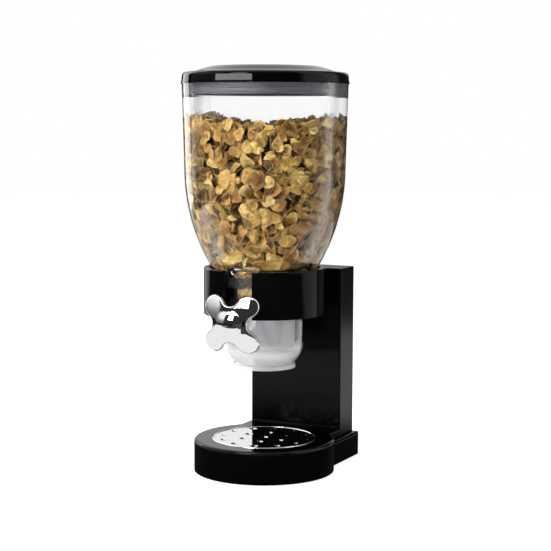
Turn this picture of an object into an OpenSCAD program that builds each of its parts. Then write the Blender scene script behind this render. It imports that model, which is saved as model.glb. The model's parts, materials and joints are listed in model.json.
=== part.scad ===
/* [Overall] */
// Height from the table to the top of the lid
total_h = 394; // [350:1:480]
// Height of the paddle shaft above the table
shaft_z = 152.8; // [140:0.1:190]

/* [Base] */
// Radius of the round front of the base
base_r = 68.8; // [58:0.2:82]
// Height of the round front's top above the table
base_top_z = 32.5; // [27:0.5:42]
// How far the rear block's top lies below the round front's top
block_step = 7.7; // [5:0.1:10]
// How far the rear block reaches past each side of the column
block_side = 6; // [4:0.5:12]
// How far the rear block reaches behind the column
block_back = 3; // [2:0.5:10]
// Rounding of the base's upper edges
base_edge = 3; // [1.5:0.25:4]
// Wall of the base moulding
base_wall = 2.6; // [2:0.1:3.4]
// Thickness of the bottom plate
plate_t = 2; // [1.6:0.1:3]
// Height of the rubber feet below the base moulding
foot_h = 1; // [0.8:0.1:3]
// Radius of a rubber foot
foot_r = 6; // [4:0.5:8]

/* [Crumb grille] */
// Radius of the perforated grille
grille_r = 51; // [42:0.5:53]
// Sheet thickness of the grille
grille_t = 1.2; // [0.8:0.1:2]
// Diameter of one grille hole
grille_hole_d = 4.4; // [3.5:0.1:6]
// Width of the sloping rim round a grille hole
hole_rim_w = 1.9; // [0.8:0.1:2.2]
// How far the grille is turned in its ledge
grille_turn = -17; // [-30:1:30]
// Depth of the crumb well from the top of the base
well_depth = 9; // [6:0.5:12]

/* [Column] */
// Width of the column
column_w = 100.4; // [84:0.2:120]
// Depth of the column
column_d = 33; // [27:0.5:45]
// How far the column's top lies below the collar's top
column_drop = 5.8; // [3:0.1:12]
// Wall of the column moulding
column_wall = 2.6; // [2:0.1:3.4]
// Thickness of the back cover
cover_t = 2.4; // [1.8:0.1:3]

/* [Collar] */
// Outside radius of the collar
collar_r = 59; // [55:0.5:70]
// Wall of the collar
collar_wall = 4.7; // [3.8:0.1:6]
// How far the collar's lower edge lies above the shaft
collar_rise = 3.1; // [0.4:0.1:6]
// Height of the collar
collar_h = 45.1; // [38:0.5:54]
// Width of the gap in the collar's front
gap_w = 30; // [26:0.5:38]
// Distance from the collar to the column's front face
neck_l = 10.3; // [8:0.1:16]
// Width of the neck between the collar and the column
neck_w = 72; // [60:1:80]
// Height of the seat under the hopper's skirt
seat_t = 4; // [3:0.5:6]
// How far the seat lies below the collar's top
seat_drop = 3.9; // [3:0.1:6]

/* [Hopper] */
// Outside radius of the hopper at its rim
hopper_r = 80; // [74:0.5:96]
// How much narrower the hopper is where its belly starts to curve
hopper_taper = 2.3; // [1:0.1:4]
// Height of that place above the shaft
belly_rise = 143.2; // [118:0.1:165]
// Wall of the hopper
hopper_wall = 2.4; // [2:0.1:3]
// Radius of the curve between the hopper's side and its floor
bowl_r = 12; // [8:0.5:20]

/* [Metering tube] */
// Inside radius of the funnel's mouth
mouth_r = 34.6; // [31:0.2:35]
// Inside radius of the metering tube
tube_r = 27.5; // [23:0.5:28]
// Height of the funnel between its mouth and the tube
funnel_h = 16.4; // [12:0.2:18]
// Wall of the metering tube and its funnel
tube_wall = 2.4; // [2:0.1:2.8]
// Thickness of the flange that joins the funnel to the hopper
flange_t = 2; // [1.6:0.1:3]
// How far the metering tube reaches below the shaft
tube_drop = 28.8; // [28:0.1:36]
// Radius of the curl at the tube's lower end
tube_curl = 6; // [4:0.25:8]

/* [Outlet cup] */
// Outside radius of the outlet cup
cup_r = 38.8; // [37.5:0.1:40]
// Wall of the outlet cup
cup_wall = 2.2; // [1.8:0.1:2.4]
// How far below the shaft the cup starts to curve inwards
cup_side_drop = 22.8; // [18:0.1:30]
// Radius of that curve
cup_curve_r = 29; // [26:0.5:34]
// Height of the curve
cup_curve_h = 21.7; // [18:0.1:24]
// Outside radius of the outlet's lip
lip_r = 30.5; // [29:0.1:33]
// Height of the lip
lip_h = 5.1; // [4:0.1:8]

/* [Paddle wheel] */
// Number of paddles
paddle_count = 6; // [4:1:8]
// Thickness of a paddle at its root
paddle_root_t = 2.6; // [2:0.1:3.4]
// Thickness of a paddle at its tip
paddle_tip_t = 1.4; // [1:0.1:2]
// Space between the paddles and the metering tube
paddle_gap = 0.8; // [0.5:0.1:1.5]
// Radius of the paddle wheel's core
core_r = 7; // [6:0.1:8]
// Length of the core
core_l = 42; // [32:1:44]
// Radius of the shaft
shaft_r = 4; // [3.2:0.1:4.6]
// Depth of the flat on the shaft
flat_depth = 0.9; // [0.6:0.1:1.2]

/* [Bushings] */
// Radius of the front bushing
bushing_r = 7.5; // [6.5:0.1:9]
// Radius of the front bushing's flange
bushing_flange_r = 11; // [10:0.5:13]
// Radius of the rear bushing
rear_bushing_r = 6; // [5.5:0.1:7]

/* [Knob] */
// Distance of a lobe's centre from the shaft
lobe_distance = 24.3; // [21:0.1:28]
// Radius of a lobe
lobe_r = 10.3; // [9:0.1:12]
// Distance from the shaft to the waist between two lobes
waist_r = 17.5; // [15:0.1:19]
// Radius of the knob's crowned face
knob_crown_r = 90; // [75:1:160]
// Thickness of the knob
knob_t = 5.2; // [3.6:0.1:6]
// Radius of the dome in the middle
dome_r = 10.8; // [9:0.1:12]
// Height of the dome
dome_h = 6.6; // [5.5:0.1:8]

/* [Lid] */
// Height of the lid's side, from the hopper's rim to the lid's flat border
lid_side_h = 10.9; // [8:0.1:16]
// Height of the raised middle above the border
crown_h = 6.1; // [3:0.1:8]
// Radius of the nearly level top of the raised middle
crown_level_r = 46; // [30:1:52]
// Width of the level border between the lid's edge and the raised middle
border_w = 0.6; // [0.4:0.1:8]
// Height of the bead round the lid's lower edge
bead_h = 1.8; // [1:0.1:3]
// How far the bead stands out
bead_out = 0.5; // [0.3:0.1:1]
// How far the lid reaches past the hopper's rim
lid_overhang = 0.9; // [0.5:0.1:2]
// Wall of the lid
lid_wall = 2.4; // [2:0.1:3]
// Rounding of the lid's edge
lid_edge = 3.8; // [3.2:0.1:4.4]
// How far the plug reaches into the hopper
plug_depth = 10.5; // [9:0.1:16]
// Height of the seal on the plug
seal_h = 5.6; // [4:0.1:6.5]

/* [Fits] */
// Radial clearance of the turning shaft in its bushings
running_gap = 0.06; // [0.03:0.01:0.1]
// Clearance between parts that are fixed together
fixed_gap = 0.1; // [0.05:0.01:0.2]
// Clearance between parts that lift apart
lift_gap = 0.3; // [0.2:0.05:0.5]

/* [Screws] */
// Radius of a screw's shank
screw_r = 1.35; // [1.2:0.05:1.6]
// Radius of a screw's head
head_r = 2.8; // [2.4:0.1:3]
// Height of a screw's head
head_h = 1.1; // [0.9:0.05:1.3]
// Outside radius of a screw boss
boss_r = 4; // [3.5:0.1:4.5]

/* [Hidden] */
$fn = 96;

// Heights, all above the table
block_top_z = base_top_z - block_step;
collar_z = shaft_z + collar_rise;
collar_top_z = collar_z + collar_h;
column_top_z = collar_top_z - column_drop;
seat_z = collar_top_z - seat_drop;
floor_z = seat_z + hopper_wall;
belly_z = shaft_z + belly_rise;
rim_z = total_h - crown_h - lid_side_h;
tube_z = shaft_z - tube_drop;
plate_z = foot_h + 0.5;

// Distances from the canister's axis; the front is at -Y
column_front = collar_r + neck_l;
column_rear = column_front + column_d;
base_rear = column_rear + block_back;
column_x = column_w / 2;
block_x = column_x + block_side;
lid_r = hopper_r + lid_overhang;
border_z = rim_z + lid_side_h;
lid_side_r = lid_r - bead_out - 0.4;
crown_r = lid_side_r - lid_edge - border_w;

// The origin lies under the middle of the whole container, and the axis
// of the canister this far from it
front_reach = max(lid_r, base_r);
axis_y = (front_reach - base_rear) / 2;

// Belly of the hopper: an arc from the straight side to the collar's mouth
belly_r = hopper_r - hopper_taper;
neck_r = collar_r - collar_wall - 2.5;
belly_drop = belly_z - collar_top_z;
belly_in = belly_r - neck_r;
belly_arc = (belly_drop * belly_drop + belly_in * belly_in) / (2 * belly_in);

// Curve into the hopper's floor: an arc tangent to the inside of the belly
bowl_z = floor_z + bowl_r;
bowl_reach = belly_arc - hopper_wall - bowl_r;
bowl_fall = belly_z - bowl_z;
bowl_c = belly_r - belly_arc + sqrt(bowl_reach * bowl_reach - bowl_fall * bowl_fall);
bowl_start = -asin(bowl_fall / bowl_reach);
bowl_end = bowl_c > mouth_r ? -90 : -acos((mouth_r - bowl_c) / bowl_r);

// Top of the metering tube's flange, under the hopper's floor
flange_z = seat_z - fixed_gap;

// Ring under that flange that holds the outlet cup
spigot_r = cup_r - cup_wall - fixed_gap;
spigot_wall = 2.2;
spigot_h = 15;

// The paddles turn inside this ball
wheel_r = tube_r - paddle_gap;

// Lid plug and its seal
plug_wall = 2.2;
seal_t = 1.45;
plug_lip = 1;
hopper_in_low = wall_r(rim_z - plug_depth) - hopper_wall;
seal_r = hopper_in_low - lift_gap;
plug_r = seal_r - seal_t;

// Knob, measured along its shaft
bushing_end = collar_r + 0.4;
washer_t = 0.8;
washer_start = bushing_end + 0.2;
knob_back = washer_start + washer_t;
knob_boss_r = 9.4;

// Screw places, as [x, y] or [x, z] with x on both sides
plate_screws = [[base_r * 0.64, -base_r * 0.58], [block_x - 8.2, base_rear - 9.2]];
feet = [[base_r * 0.44, -base_r * 0.7], [block_x - 12, column_rear - 18]];
column_screw_x = column_x - 12;
column_screw_y = [column_front + 9.5, column_rear - 9.5];
cover_screw_z = [block_top_z + 26, column_top_z - 17];
collar_screw_x = neck_w / 2 - 10;
collar_screw_z = [collar_z + 10, column_top_z - 9];
pilot_r = screw_r + 0.05;
screw_hole_r = screw_r + 0.35;

black = [0.03, 0.03, 0.035];
clear = [0.9, 0.93, 0.95, 0.35];
frosted = [0.88, 0.89, 0.9, 0.8];
chrome = [0.8, 0.8, 0.82];
grey = [0.72, 0.73, 0.74];
rubber = [0.1, 0.1, 0.1];
steel = [0.6, 0.6, 0.62];

// Outside radius of the hopper at height z
function wall_r(z) =
    z > belly_z
        ? belly_r + hopper_taper * (z - belly_z) / (rim_z - belly_z)
        : belly_r - belly_arc + sqrt(belly_arc * belly_arc - (belly_z - z) * (belly_z - z));

// Points down the hopper's wall, this far inside its outer face
function wall_points(z_high, z_low, inset, steps) =
    [for (i = [0:steps]) let (z = z_high + (z_low - z_high) * i / steps) [wall_r(z) - inset, z]];

function arc(x, y, r, from, to, steps) =
    [for (i = [0:steps]) let (a = from + (to - from) * i / steps) [x + r * cos(a), y + r * sin(a)]];

module on_axis() translate([0, axis_y, 0]) children();

// Turns a shape whose Z axis is the shaft, so that +Z points out of the front
module on_shaft() translate([0, axis_y, shaft_z]) rotate([90, 0, 0]) children();

module both_sides() {
    children();
    mirror([1, 0, 0]) children();
}

// Rectangle between two corners, with all four corners rounded
module round_rect(low, high, r) {
    size = high - low;
    translate([low[0] + r, low[1]]) square([size[0] - 2 * r, size[1]]);
    translate([low[0], low[1] + r]) square([size[0], size[1] - 2 * r]);
    for (x = [low[0] + r, high[0] - r])
        for (y = [low[1] + r, high[1] - r])
            translate([x, y]) circle(r);
}

// Rectangle between two corners, with its upper corners rounded
module arch(low, high, r) {
    size = high - low;
    translate(low) square([size[0], size[1] - r]);
    translate([low[0] + r, low[1]]) square([size[0] - 2 * r, size[1]]);
    for (x = [low[0] + r, high[0] - r])
        translate([x, high[1] - r]) circle(r);
}

// Box from low to high with rounded upright corners and upper edges
module soft_box(low, high, corner, edge) {
    size = high - low;
    intersection() {
        translate([0, 0, low[2]])
            linear_extrude(size[2]) round_rect([low[0], low[1]], [high[0], high[1]], corner);
        translate([0, high[1], 0]) rotate([90, 0, 0])
            linear_extrude(size[1]) arch([low[0], low[2]], [high[0], high[2]], edge);
        translate([low[0], 0, 0]) rotate([90, 0, 90])
            linear_extrude(size[0]) arch([low[1], low[2]], [high[1], high[2]], edge);
    }
}

module plain_box(low, high) translate(low) cube(high - low);

// Upright pipe between two heights
module pipe(outer_r, inner_r, low, high) {
    translate([0, 0, low]) difference() {
        cylinder(r = outer_r, h = high - low);
        translate([0, 0, -1]) cylinder(r = inner_r, h = high - low + 2);
    }
}

// Disc with a rounded upper edge
module soft_disc(r, z_low, z_high, edge) {
    rotate_extrude() {
        translate([0, z_low]) square([r - edge, z_high - z_low]);
        translate([0, z_low]) square([r, z_high - z_low - edge]);
        translate([r - edge, z_high - edge]) circle(edge);
    }
}

// Screw with its head below z = 0 and its shank above
module screw(length) {
    difference() {
        translate([0, 0, -head_h]) cylinder(r = head_r, h = head_h, $fn = 32);
        for (turn = [0, 90])
            rotate([0, 0, turn])
                translate([-head_r * 0.6, -0.35, -head_h - 0.1]) cube([head_r * 1.2, 0.7, 0.7]);
    }
    cylinder(r = screw_r, h = length, $fn = 24);
}

// Outer form of the base: round front, pad up to the column, rear block
module base_form(inset) {
    top = base_top_z - inset;
    edge = max(base_edge - inset, 0.6);
    pad_x = column_x - inset;
    intersection() {
        soft_disc(base_r - inset, foot_h, top, edge);
        plain_box([-base_r, -base_r, 0], [base_r, column_front - inset, base_top_z]);
    }
    translate([0, column_front - inset, 0]) rotate([90, 0, 0])
        linear_extrude(column_front - inset) arch([-pad_x, foot_h], [pad_x, top], edge / 2);
    soft_box([-block_x + inset, 0, foot_h],
             [block_x - inset, base_rear - inset, block_top_z - inset], 3, edge);
}

module base_bosses(r, z_low, z_high) {
    for (p = plate_screws)
        both_sides() translate([p[0], p[1], z_low]) cylinder(r = r, h = z_high - z_low, $fn = 32);
}

module base_shell() {
    plate_top = plate_z + plate_t;
    well_z = base_top_z - well_depth;
    color(black) on_axis() difference() {
        base_form(0);
        difference() {
            base_form(base_wall);
            translate([0, 0, well_z - base_wall])
                cylinder(r = grille_r + base_wall, h = base_top_z);
            base_bosses(boss_r, plate_top, base_top_z);
        }
        // Room for the bottom plate
        translate([0, 0, foot_h - 1]) linear_extrude(plate_top - foot_h + 1) plate_outline(0);
        base_bosses(pilot_r, plate_top - 1, plate_top + 11);
        // Crumb well and the ledge that carries the grille
        translate([0, 0, well_z]) cylinder(r = grille_r - 2.5, h = well_depth + 1);
        translate([0, 0, base_top_z - grille_t]) cylinder(r = grille_r + lift_gap, h = grille_t + 1);
        for (y = column_screw_y)
            both_sides() translate([column_screw_x, y, block_top_z - base_wall - 1])
                cylinder(r = screw_hole_r, h = base_wall + 2, $fn = 32);
    }
}

module plate_outline(gap) {
    inset = base_wall + gap;
    intersection() {
        circle(base_r - inset);
        translate([-base_r, -base_r]) square([2 * base_r, base_r + column_front]);
    }
    round_rect([-block_x + inset, 0], [block_x - inset, base_rear - inset], 2);
}

module base_plate() {
    color(black) on_axis() difference() {
        translate([0, 0, plate_z]) linear_extrude(plate_t) plate_outline(fixed_gap);
        for (p = feet)
            both_sides() translate([p[0], p[1], plate_z - 1])
                cylinder(r = foot_r + fixed_gap, h = 1.8, $fn = 48);
        base_bosses(screw_hole_r, plate_z - 1, plate_z + plate_t + 1);
        base_bosses(head_r + 0.3, plate_z - 1, plate_z + head_h + 0.1);
    }
}

module base_feet() {
    color(rubber) on_axis()
        for (p = feet)
            both_sides() translate([p[0], p[1], 0]) {
                cylinder(r1 = foot_r - 0.5, r2 = foot_r, h = 0.5, $fn = 48);
                translate([0, 0, 0.5]) cylinder(r = foot_r, h = plate_z + 0.3, $fn = 48);
            }
}

module base_screws() {
    color(steel) on_axis()
        for (p = plate_screws)
            both_sides() translate([p[0], p[1], plate_z + head_h + 0.1]) screw(10);
}

// Pressed sheet with dished holes in two rings and a rolled rim
module crumb_grille() {
    hole_r = grille_hole_d / 2;
    rim_r = 0.9;
    sheet_z = base_top_z - grille_t;
    color(chrome) on_axis() difference() {
        union() {
            translate([0, 0, sheet_z]) cylinder(r = grille_r - rim_r, h = grille_t);
            translate([0, 0, base_top_z - rim_r / 3])
                rotate_extrude() translate([grille_r - rim_r, 0]) circle(rim_r, $fn = 32);
        }
        grille_holes() {
            translate([0, 0, sheet_z - 1]) cylinder(r = hole_r, h = grille_t + 2, $fn = 32);
            translate([0, 0, base_top_z - grille_t * 0.75])
                cylinder(r1 = hole_r, r2 = hole_r + hole_rim_w, h = grille_t * 0.75 + 0.01, $fn = 32);
        }
    }
}

module grille_holes() {
    children();
    for (ring = [[6, 0.41], [12, 0.8]])
        for (i = [0:ring[0] - 1])
            rotate([0, 0, grille_turn + i * 360 / ring[0]])
                translate([grille_r * ring[1], 0, 0]) children();
}

// Column: a shell that is open at the back
module column_shell() {
    inner_x = column_x - column_wall;
    cover_x = column_x - 1.3;
    floor_t = 3;
    color(black) on_axis() {
        difference() {
            soft_box([-column_x, column_front, block_top_z],
                     [column_x, column_rear, column_top_z], 1.5, 1.2);
            difference() {
                plain_box([-inner_x, column_front + column_wall, block_top_z + floor_t],
                          [inner_x, column_rear + 1, column_top_z - column_wall]);
                // Bosses for the cover's screws
                for (z = cover_screw_z)
                    both_sides() translate([column_screw_x, column_rear - cover_t, z])
                        rotate([90, 0, 0]) cylinder(r = boss_r, h = column_d, $fn = 32);
                // Bosses for the screws from the base
                for (y = column_screw_y)
                    both_sides() translate([column_screw_x, y, block_top_z])
                        cylinder(r = boss_r, h = 16, $fn = 32);
            }
            // Rebate for the cover
            plain_box([-cover_x, column_rear - cover_t, block_top_z + 1.3],
                      [cover_x, column_rear + 1, column_top_z - 1.3]);
            for (z = cover_screw_z)
                both_sides() translate([column_screw_x, column_rear + 1, z])
                    rotate([90, 0, 0]) cylinder(r = pilot_r, h = cover_t + 12, $fn = 24);
            for (y = column_screw_y)
                both_sides() translate([column_screw_x, y, block_top_z - 1])
                    cylinder(r = pilot_r, h = 14, $fn = 24);
            for (z = collar_screw_z)
                both_sides() translate([collar_screw_x, column_front + column_wall + 1, z])
                    rotate([90, 0, 0]) cylinder(r = screw_hole_r, h = column_wall + 2, $fn = 32);
        }
        foot_cove();
    }
}

// Hollow fillet where the column's front meets the base
module foot_cove() {
    cove = 2;
    translate([-column_x + 2, 0, 0]) rotate([90, 0, 90]) linear_extrude(column_w - 4) difference() {
        translate([column_front - cove, base_top_z]) square([cove + 0.5, cove]);
        translate([column_front - cove, base_top_z + cove]) circle(cove, $fn = 48);
    }
}

module column_cover() {
    cover_x = column_x - 1.3 - fixed_gap;
    color(black) on_axis() difference() {
        plain_box([-cover_x, column_rear - cover_t, block_top_z + 1.3 + fixed_gap],
                  [cover_x, column_rear, column_top_z - 1.3 - fixed_gap]);
        for (z = cover_screw_z)
            both_sides() translate([column_screw_x, column_rear + 1, z]) rotate([90, 0, 0]) {
                cylinder(r = screw_hole_r, h = cover_t + 2, $fn = 32);
                cylinder(r = head_r + 0.3, h = head_h + 1.1, $fn = 32);
            }
    }
}

module cover_screws() {
    color(steel) on_axis()
        for (z = cover_screw_z)
            both_sides() translate([column_screw_x, column_rear - head_h - 0.1, z])
                rotate([90, 0, 0]) screw(11);
}

module column_screws() {
    color(steel) on_axis()
        for (y = column_screw_y)
            both_sides() translate([column_screw_x, y, block_top_z - base_wall]) screw(13);
}

// Open ring with a seat for the hopper and a neck to the column
module collar() {
    inner_r = collar_r - collar_wall;
    seat_in = cup_r + 2.7;
    neck_x = neck_w / 2;
    color(black) on_axis() difference() {
        union() {
            collar_band();
            translate([0, 0, seat_z - seat_t]) difference() {
                cylinder(r = inner_r + 0.5, h = seat_t);
                translate([0, 0, -1]) cylinder(r = seat_in, h = seat_t + 2);
            }
            difference() {
                soft_box([-neck_x, inner_r - 20, collar_z], [neck_x, column_front, column_top_z], 0.5, 1.2);
                translate([0, 0, collar_z - 1]) cylinder(r = inner_r + 0.5, h = collar_h + 2);
                neck_pocket();
            }
        }
        translate([-gap_w / 2, -collar_r - 1, collar_z - 1])
            cube([gap_w, collar_r, collar_h + 2]);
        translate([0, 0, collar_z - 1]) linear_extrude(collar_h + 2) gap_rounding(1);
        for (z = collar_screw_z)
            both_sides() translate([collar_screw_x, column_front + 1, z])
                rotate([90, 0, 0]) cylinder(r = pilot_r, h = 11, $fn = 24);
    }
}

// The ring itself, a little thinner behind its sides than in front
module collar_band() {
    step = 1;
    step_y = collar_r * 0.19;
    difference() {
        soft_disc(collar_r, collar_z, collar_top_z, 1.2);
        translate([0, 0, collar_z - 1]) cylinder(r = collar_r - collar_wall, h = collar_h + 2);
        difference() {
            plain_box([-collar_r, step_y, collar_z - 1], [collar_r, collar_r + 1, collar_top_z + 1]);
            translate([0, 0, collar_z - 2]) cylinder(r = collar_r - step, h = collar_h + 4);
        }
    }
}

// Pocket in the neck, open towards the column, with the screw bosses left in
module neck_pocket() {
    wall = 3;
    pocket_x = neck_w / 2 - wall;
    difference() {
        plain_box([-pocket_x, collar_r - 3, collar_z + wall],
                  [pocket_x, column_front + 1, column_top_z - wall]);
        cylinder(r = collar_r, h = collar_top_z);
        for (z = collar_screw_z)
            both_sides() translate([collar_screw_x, column_front + 2, z])
                rotate([90, 0, 0]) cylinder(r = boss_r, h = column_front, $fn = 32);
    }
}

// Rounds the outer upright edges beside the gap
module gap_rounding(r) {
    edge_x = gap_w / 2;
    edge_y = -sqrt(collar_r * collar_r - edge_x * edge_x);
    centre = [edge_x + r, -sqrt(pow(collar_r - r, 2) - pow(edge_x + r, 2))];
    both_sides() difference() {
        polygon([[edge_x - 0.5, centre[1]], centre, centre * (collar_r + 0.5) / (collar_r - r),
                 [edge_x - 0.5, edge_y - 0.5]]);
        translate(centre) circle(r, $fn = 32);
    }
}

module collar_screws() {
    color(steel) on_axis()
        for (z = collar_screw_z)
            both_sides() translate([collar_screw_x, column_front + column_wall, z])
                rotate([90, 0, 0]) screw(column_wall + 9);
}

// Outline of everything inside the hopper's outer face, down to its seat
module hopper_outer() {
    polygon(concat([[0, rim_z]], wall_points(rim_z, belly_z, 0, 1),
                   wall_points(belly_z, seat_z, 0, 36), [[0, seat_z]]));
}

// Room for the cereal: straight side, belly and floor, and the mouth through it
module hopper_inner() {
    wall_low = bowl_z + bowl_r * sin(bowl_start);
    polygon(concat([[0, rim_z + 1], [wall_r(rim_z) - hopper_wall, rim_z + 1]],
                   wall_points(rim_z, belly_z, hopper_wall, 1),
                   wall_points(belly_z, wall_low, hopper_wall, 30),
                   arc(bowl_c, bowl_z, bowl_r, bowl_start, bowl_end, 16),
                   [[mouth_r, floor_z], [funnel_r(seat_z - 1), seat_z - 1], [0, seat_z - 1]]));
}

module hopper() {
    color(clear) on_axis() rotate_extrude() difference() {
        hopper_outer();
        hopper_inner();
    }
}

// Inside radius of the funnel at height z
function funnel_r(z) = tube_r + (mouth_r - tube_r) * (z - floor_z + funnel_h) / funnel_h;

// Half profile of the funnel and the tube, this far outside their inner face
module tube_profile(wall, z_top) {
    curl_z = tube_z + tube_curl;
    curl_end = wall > 0 ? -50 : -70;
    low = tube_z - (wall > 0 ? 0.6 : 1);
    polygon(concat([[0, z_top], [funnel_r(z_top) + wall * 1.1, z_top],
                    [tube_r + wall, floor_z - funnel_h]],
                   arc(tube_r - tube_curl, curl_z, tube_curl + wall, 0, curl_end, 6),
                   [[tube_r - tube_curl, low], [0, low]]));
}

// Funnel, tube, the flange under the hopper's floor and the ring for the cup
module metering_tube() {
    color(frosted) difference() {
        on_axis() {
            rotate_extrude() difference() {
                tube_profile(tube_wall, flange_z);
                tube_profile(0, flange_z + 1);
            }
            pipe(cup_r + 2, funnel_r(flange_z) + tube_wall * 0.4, flange_z - flange_t, flange_z);
            pipe(spigot_r, spigot_r - spigot_wall, seat_z - spigot_h, flange_z - flange_t / 2);
        }
        on_shaft() {
            cylinder(r = bushing_r + fixed_gap, h = tube_r + 20, $fn = 64);
            mirror([0, 0, 1]) cylinder(r = rear_bushing_r + fixed_gap, h = tube_r + 20, $fn = 64);
        }
    }
}

// Half profile of the outlet cup, this far inside its outer face
module cup_profile(inset, z_top, lip) {
    curve_z = shaft_z - cup_side_drop;
    side_r = cup_r - 0.4;
    fall = asin(cup_curve_h / cup_curve_r);
    lip_top = curve_z - cup_curve_h;
    polygon(concat([[0, z_top], [cup_r - inset, z_top], [cup_r - inset, shaft_z]],
                   arc(side_r - cup_curve_r, curve_z, cup_curve_r - inset, 0, -fall, 16),
                   [[lip, lip_top - 1.5], [lip, lip_top - lip_h], [0, lip_top - lip_h]]));
}

module outlet_cup() {
    rim_top = flange_z - flange_t - fixed_gap;
    color(clear) difference() {
        on_axis() rotate_extrude() difference() {
            cup_profile(0, rim_top, lip_r);
            translate([0, -0.01]) cup_profile(cup_wall, rim_top + 1, lip_r - cup_wall - 0.3);
        }
        on_shaft() cylinder(r = bushing_r + fixed_gap, h = cup_r + 5, $fn = 64);
    }
}

// Sleeve that carries the shaft through the front of the tube and the cup
module front_bushing() {
    color(grey) on_shaft() difference() {
        union() {
            translate([0, 0, tube_r + fixed_gap])
                cylinder(r = bushing_r, h = bushing_end - tube_r - fixed_gap, $fn = 64);
            translate([0, 0, cup_r - 3]) cylinder(r = bushing_flange_r, h = 5, $fn = 64);
        }
        translate([0, 0, tube_r - 1]) cylinder(r = shaft_r + running_gap, h = collar_r, $fn = 48);
        // The flange follows the cup's round wall
        rotate([90, 0, 0]) difference() {
            translate([0, 0, -30]) cylinder(r = cup_r + fixed_gap, h = 60);
            rotate([-90, 0, 0]) cylinder(r = bushing_r, h = collar_r, $fn = 64);
        }
    }
}

// Blind bushing in the rear wall of the tube
module rear_bushing() {
    outer_r = tube_r + tube_wall;
    bore_end = outer_r + 2;
    color(grey) on_shaft() mirror([0, 0, 1]) difference() {
        union() {
            translate([0, 0, tube_r + fixed_gap])
                cylinder(r = rear_bushing_r, h = bore_end + 1 - tube_r, $fn = 48);
            translate([0, 0, outer_r - 2]) cylinder(r = rear_bushing_r + 2, h = 4, $fn = 48);
        }
        translate([0, 0, tube_r - 1])
            cylinder(r = shaft_r + running_gap, h = bore_end - tube_r + 1, $fn = 48);
        rotate([90, 0, 0]) difference() {
            translate([0, 0, -20]) cylinder(r = outer_r + fixed_gap, h = 40);
            rotate([-90, 0, 0]) cylinder(r = rear_bushing_r, h = collar_r, $fn = 48);
        }
    }
}

// Shaft section with its flat, cut this much larger
module shaft_section(gap) {
    difference() {
        circle(shaft_r + gap, $fn = 48);
        translate([-shaft_r * 2, shaft_r - flat_depth + gap]) square([shaft_r * 4, shaft_r]);
    }
}

module shaft() {
    rear_end = tube_r + tube_wall + 1.7;
    front_end = knob_back + crown_fall(lobe_distance + lobe_r) + 0.8;
    flat_l = core_l + 4;
    color(steel) on_shaft() difference() {
        translate([0, 0, -rear_end]) cylinder(r = shaft_r, h = rear_end + front_end, $fn = 48);
        translate([-shaft_r * 2, shaft_r - flat_depth, -flat_l / 2]) cube([shaft_r * 4, shaft_r, flat_l]);
    }
}

module paddle_core() {
    color(grey) on_shaft() difference() {
        translate([0, 0, -core_l / 2]) cylinder(r = core_r, h = core_l, $fn = 64);
        translate([0, 0, -core_l / 2 - 1]) linear_extrude(core_l + 2) shaft_section(fixed_gap);
    }
}

// Soft wheel: a sleeve over the core with tapered paddles, turned to a ball
module paddle_wheel() {
    sleeve_r = core_r + 2;
    paddle = [[sleeve_r - 1, -paddle_root_t / 2], [wheel_r + 1, -paddle_tip_t / 2],
              [wheel_r + 1, paddle_tip_t / 2], [sleeve_r - 1, paddle_root_t / 2]];
    color(grey) on_shaft() intersection() {
        difference() {
            union() {
                translate([0, 0, -core_l / 2]) cylinder(r = sleeve_r, h = core_l, $fn = 64);
                for (i = [0:paddle_count - 1])
                    rotate([0, 0, 90 + i * 360 / paddle_count])
                        translate([0, 0, -wheel_r]) linear_extrude(2 * wheel_r) polygon(paddle);
            }
            translate([0, 0, -core_l]) cylinder(r = core_r + fixed_gap / 2, h = 2 * core_l, $fn = 64);
        }
        sphere(wheel_r);
    }
}

// Four lobes joined by hollow waists
module clover() {
    lobe = lobe_distance / sqrt(2);
    // Radius and distance of the circle that hollows a waist, tangent to two lobes
    hollow_r = (pow(waist_r - lobe, 2) + lobe * lobe - lobe_r * lobe_r) / (2 * (lobe_r - waist_r + lobe));
    hollow_d = waist_r + hollow_r;
    // Where the two circles touch, drawn a little into the lobe
    touch = (lobe_r - 0.4) / (lobe_r + hollow_r);
    touch_a = lobe + (hollow_d - lobe) * touch;
    touch_b = lobe - lobe * touch;
    bite = 0.03;
    difference() {
        union() {
            polygon([for (turn = [0:90:270]) for (p = [[touch_a, -touch_b], [touch_a, touch_b]])
                [p[0] * cos(turn) - p[1] * sin(turn), p[0] * sin(turn) + p[1] * cos(turn)]]);
            for (turn = [45:90:315])
                rotate(turn) translate([lobe_distance, 0]) circle(lobe_r, $fn = 64);
        }
        for (turn = [0:90:270])
            rotate(turn) translate([hollow_d, 0]) circle(hollow_r + bite, $fn = 64);
    }
}

// How far the crowned plate has fallen back at this distance from the shaft
function crown_fall(r) = knob_crown_r - sqrt(knob_crown_r * knob_crown_r - r * r);

// Round crowned plate whose middle lies between these two heights
module crowned_plate(back, front) {
    reach = lobe_distance + lobe_r + 2;
    steps = 12;
    rotate_extrude() polygon(concat(
        [for (i = [0:steps]) let (r = reach * i / steps) [r, front - crown_fall(r)]],
        [for (i = [steps:-1:0]) let (r = reach * i / steps) [r, back - crown_fall(r)]]));
}

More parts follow.
